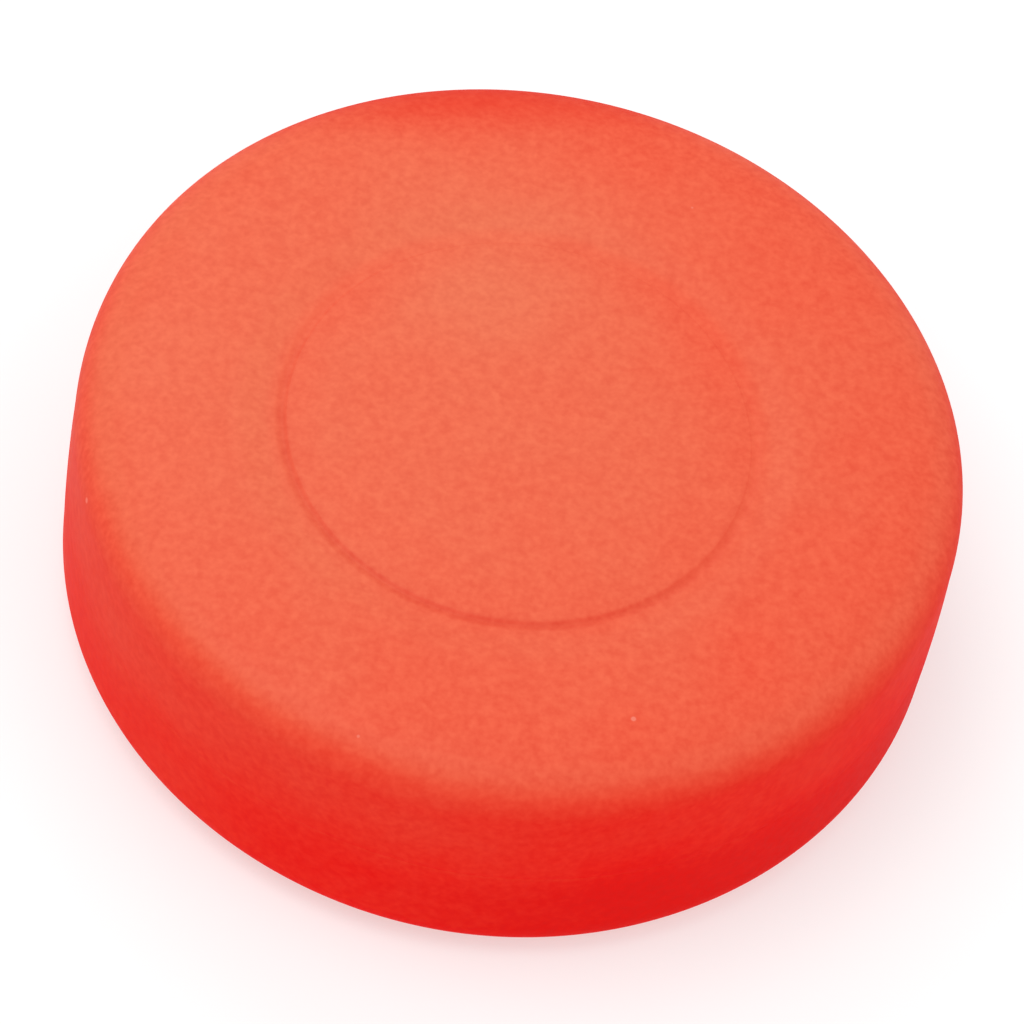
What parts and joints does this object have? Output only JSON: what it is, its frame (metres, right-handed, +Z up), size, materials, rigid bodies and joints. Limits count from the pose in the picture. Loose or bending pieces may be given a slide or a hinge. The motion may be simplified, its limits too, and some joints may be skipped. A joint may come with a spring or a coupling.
{
  "type": "case opening friction ball",
  "caption": "Squat hollow rubber ball with rounded shoulders and flat round gripping faces, pressed on a watch's screw back to turn it open.",
  "frame": {"origin": "centre of the surface that the ball stands on, under its lower crest", "axes": "+Z up along the ball's axis of revolution, from the lower gripping face to the upper one; X and Y are any two directions across it"},
  "size_m": [0.065, 0.065, 0.0215],
  "materials": {
    "body_rubber": "matte, dusty, red-orange natural rubber",
    "face_rubber": "matte, tacky, red-orange natural rubber",
    "bonding_rubber": "dull dark red bonding rubber",
    "plug_rubber": "soft black self-sealing rubber"
  },
  "bodies": {
    "base": {"lower_shell": "body_rubber", "lower_face_disc": "face_rubber", "joint_strip": "bonding_rubber", "valve_plug": "plug_rubber"},
    "crown": {"upper_shell": "body_rubber", "upper_face_disc": "face_rubber"}
  },
  "joints": [
    {"name": "squeeze", "type": "slide", "parent": "base", "child": "crown", "axis": [0, 0, -1], "range_m": [0, 0.005], "stiffness_N_per_m": 6000, "deforming": ["upper_shell"]}
  ]
}
